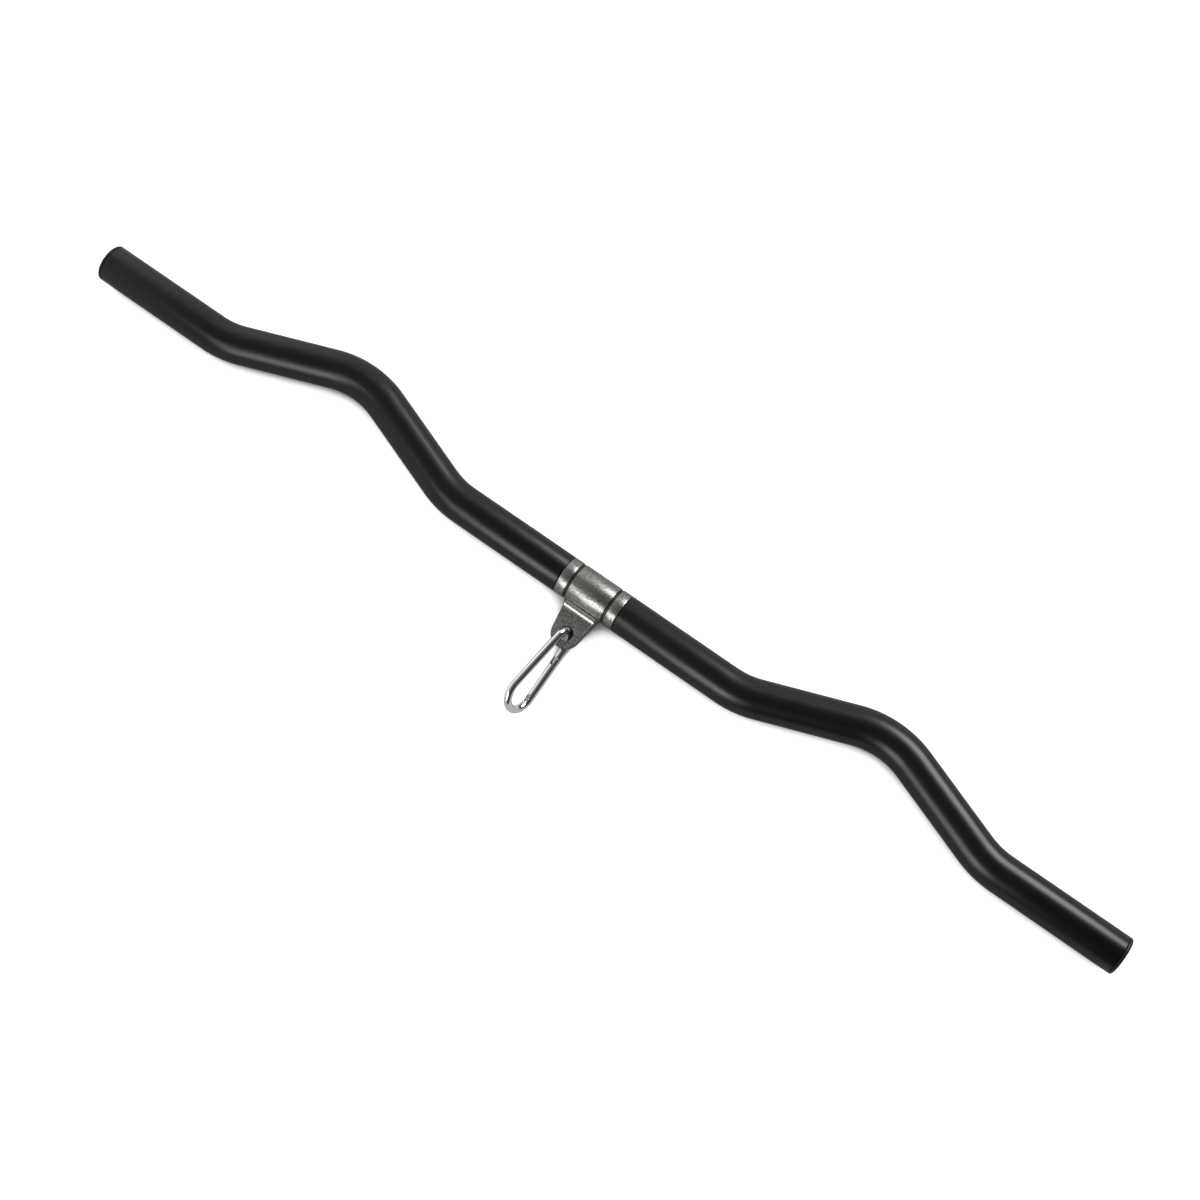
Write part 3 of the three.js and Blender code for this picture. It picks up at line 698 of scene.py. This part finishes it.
gate_length = GATE_END - GATE_HINGE + WIRE
gate_middle = Matrix.Translation((0, GATE_END - gate_length / 2, 0))
place = HOOK_PLACE @ gate_middle @ Matrix.Rotation(math.pi / 2, 4, "X")
bm = rod(WIRE, gate_length, 48, place)
gate = finish_piece("gate_rod", bm, zinc.material, "gate", "gate")
round_end = rod(WIRE + HAIR, 4 * WIRE, 44, HOOK_PLACE @ Matrix.Translation((0, GATE_HINGE, 0)))
stretch = [v for v in round_end.verts if (HOOK_PLACE.inverted() @ v.co).y > GATE_HINGE + 1e-6]
bmesh.ops.translate(round_end, verts=stretch, vec=along * (GATE_END - GATE_HINGE + WIRE))
cut(gate, round_end, "INTERSECT")
cut(gate, block((-PAST, GATE_HINGE - PAST, -SLOT / 2), (PAST, HINGE_SLOT_END, SLOT / 2)))
cut(gate, block((-PAST, LATCH_SLOT_START, -SLOT / 2), (PAST, GATE_END + 2 * MM, SLOT / 2)))
edges = gate.modifiers.new("edges", "BEVEL")
edges.width, edges.segments, edges.limit_method = GATE_EDGE, 2, "ANGLE"
edges.angle_limit = math.radians(50)
for name, node, body, radius, at in (("hinge_rivet", "gate_rivet", "hook", RIVET_RADIUS, GATE_HINGE),
                                     ("cross_pin", "latch_pin", "gate", PIN_RADIUS, LATCH)):
    bm = rod(radius, PIN_LENGTH, 32, Matrix.Identity(4))
    rims = [e for e in bm.edges if abs(e.calc_face_angle(0)) > 1]
    bmesh.ops.bevel(bm, geom=rims, offset=PIN_EDGE, segments=3, profile=0.5, affect="EDGES", material=-1)
    pin = finish_piece(name, bm, zinc.material, body, node,
                       HOOK_PLACE @ Matrix.Translation((0, at, 0)))
    print(pin.name, "faces", len(pin.data.polygons))
print("gate faces", len(gate.data.polygons))

# %% [markdown]
# ## The floor
# The photograph's bar stands on plain white. The floor is a light paint, which the lamps light and the object
# shades, and the camera sees a white glow added to it. Deep under the object, where the paint sees little of
# the room, the glow goes out, so that the hole in the lug and the line where the bar rests stay dark.

# %% Make the floor
FLOOR_HALF = 4
PAINT, GLOW = 0.6, 0.85
SHADE_REACH = 0.025
DARK_BELOW, WHITE_ABOVE = 0.4, 0.52


def is_seen(nodes, links, rays):
    """1 for the kinds of rays that are named, and 0 for the rest."""
    path = nodes.new("ShaderNodeLightPath")
    total = path.outputs[rays[0]]
    for ray in rays[1:]:
        add = nodes.new("ShaderNodeMath")
        add.operation, add.use_clamp = "ADD", True
        links.new(total, add.inputs[0])
        links.new(path.outputs[ray], add.inputs[1])
        total = add.outputs[0]
    return total


floor_bm = bmesh.new()
bmesh.ops.create_grid(floor_bm, x_segments=1, y_segments=1, size=FLOOR_HALF)
floor_mesh = bpy.data.meshes.new("floor")
floor_bm.to_mesh(floor_mesh)
floor_bm.free()
floor = bpy.data.objects.new("floor", floor_mesh)
studio.objects.link(floor)
floor_finish = bpy.data.materials.new("white_floor")
floor_finish.use_nodes = True
nodes, links = floor_finish.node_tree.nodes, floor_finish.node_tree.links
nodes.clear()
output = nodes.new("ShaderNodeOutputMaterial")
paint = nodes.new("ShaderNodeBsdfDiffuse")
paint.inputs["Color"].default_value = (PAINT, PAINT, PAINT, 1)
open_sky = nodes.new("ShaderNodeAmbientOcclusion")
open_sky.inputs["Distance"].default_value = SHADE_REACH
glow_level = nodes.new("ShaderNodeMapRange")
for name, number in (("From Min", DARK_BELOW), ("From Max", WHITE_ABOVE), ("To Min", 0), ("To Max", GLOW)):
    glow_level.inputs[name].default_value = number
glow = nodes.new("ShaderNodeEmission")
both = nodes.new("ShaderNodeAddShader")
mix = nodes.new("ShaderNodeMixShader")
links.new(open_sky.outputs["AO"], glow_level.inputs["Value"])
links.new(glow_level.outputs["Result"], glow.inputs["Strength"])
links.new(is_seen(nodes, links, ("Is Camera Ray", "Is Transmission Ray")), mix.inputs["Fac"])
links.new(paint.outputs[0], both.inputs[0])
links.new(glow.outputs[0], both.inputs[1])
links.new(paint.outputs[0], mix.inputs[1])
links.new(both.outputs[0], mix.inputs[2])
links.new(mix.outputs[0], output.inputs["Surface"])
floor_mesh.materials.append(floor_finish)
print("floor is", round(floor.dimensions.x, 1), "m wide")

# %% [markdown]
# ## The room
# The camera sees the room as white. What the bar and the hook mirror is a room that is dim overhead, and that
# goes from bright on the left to dark on the right: the hook's wire shows a white line on its left and a dark
# one on its right, and the rubber is greyer at its left end.

# %% Make the room
LEFT_TO_RIGHT = ((0.05, 0.8), (0.2, 0.48), (0.3, 0.23), (0.48, 0.14), (0.56, 0.11), (0.7, 0.045), (1.0, 0.03))
NEAR_FLOOR, OVERHEAD, OVERHEAD_FROM = 1.7, 1.17, 0.4
world = bpy.data.worlds.new("studio")
bpy.context.scene.world = world
world.use_nodes = True
nodes, links = world.node_tree.nodes, world.node_tree.links
room = nodes["Background"]
place = nodes.new("ShaderNodeTexCoord")
way = nodes.new("ShaderNodeSeparateXYZ")
links.new(place.outputs["Generated"], way.inputs[0])
rise = nodes.new("ShaderNodeMapRange")
for name, number in (("From Min", 0), ("From Max", OVERHEAD_FROM), ("To Min", NEAR_FLOOR),
                     ("To Max", OVERHEAD)):
    rise.inputs[name].default_value = number
links.new(way.outputs["Z"], rise.inputs["Value"])
sideways = nodes.new("ShaderNodeMapRange")
sideways.inputs["From Min"].default_value = -1
links.new(way.outputs["X"], sideways.inputs["Value"])
ramp = nodes.new("ShaderNodeValToRGB")
for i, (position, level) in enumerate(LEFT_TO_RIGHT):
    stop = ramp.color_ramp.elements[i] if i < 2 else ramp.color_ramp.elements.new(position)
    stop.position, stop.color = position, (level, level, level, 1)
links.new(sideways.outputs["Result"], ramp.inputs["Fac"])
level = nodes.new("ShaderNodeMath")
level.operation = "MULTIPLY"
links.new(rise.outputs["Result"], level.inputs[0])
links.new(ramp.outputs["Color"], level.inputs[1])
seen = nodes.new("ShaderNodeMix")
links.new(is_seen(nodes, links, ("Is Camera Ray", "Is Transmission Ray")), seen.inputs["Factor"])
links.new(level.outputs[0], seen.inputs[2])
seen.inputs[3].default_value = 1
links.new(seen.outputs[0], room.inputs["Strength"])
room.inputs["Color"].default_value = (1, 1, 1, 1)
contrast = LEFT_TO_RIGHT[0][1] / LEFT_TO_RIGHT[-1][1]
print("the room is", round(contrast, 1), "times as bright on the left as on the right")

# %% [markdown]
# ## The soft boxes
# The stripes on the covers say where the soft boxes were. Fitting a small model of a satin tube to them gave
# two large ones behind the bar and two smaller ones in front, all about thirty degrees above the floor.

# %% Hang the soft boxes
BOXES = (
    # name, azimuth, elevation, distance, width, height, roll, radiance
    ("far_box_behind", 162.1, 30.5, 4.43, 2.06, 2.31, 123.0, 8.7),
    ("broad_box_behind", 198.5, 24.1, 1.16, 1.33, 2.55, -108.5, 0.42),
    ("strip_box_in_front", -17.3, 30.4, 1.84, 0.285, 1.645, 39.7, 4.4),
    ("box_in_front", -0.4, 33.7, 2.01, 0.83, 0.41, 272.8, 8.0),
)
for name, azimuth, elevation, distance, wide, high, roll, radiance in BOXES:
    az, el = math.radians(azimuth), math.radians(elevation)
    towards = Vector((math.sin(az) * math.cos(el), -math.cos(az) * math.cos(el), math.sin(el)))
    u = Vector((0, 0, 1)).cross(towards).normalized()
    v = towards.cross(u)
    lamp = bpy.data.lights.new(name, "AREA")
    lamp.shape, lamp.size, lamp.size_y = "RECTANGLE", wide, high
    lamp.energy = radiance * math.pi * wide * high
    box = bpy.data.objects.new(name, lamp)
    box.matrix_world = (Matrix((u, v, towards)).transposed().to_4x4()
                        @ Matrix.Rotation(math.radians(roll), 4, "Z"))
    box.location = AXIS + towards * distance
    box.visible_camera = False
    studio.objects.link(box)
    print(name, "at", [round(c, 2) for c in box.location], "power", round(lamp.energy, 1), "W")

bpy.context.scene.view_settings.view_transform = "Standard"
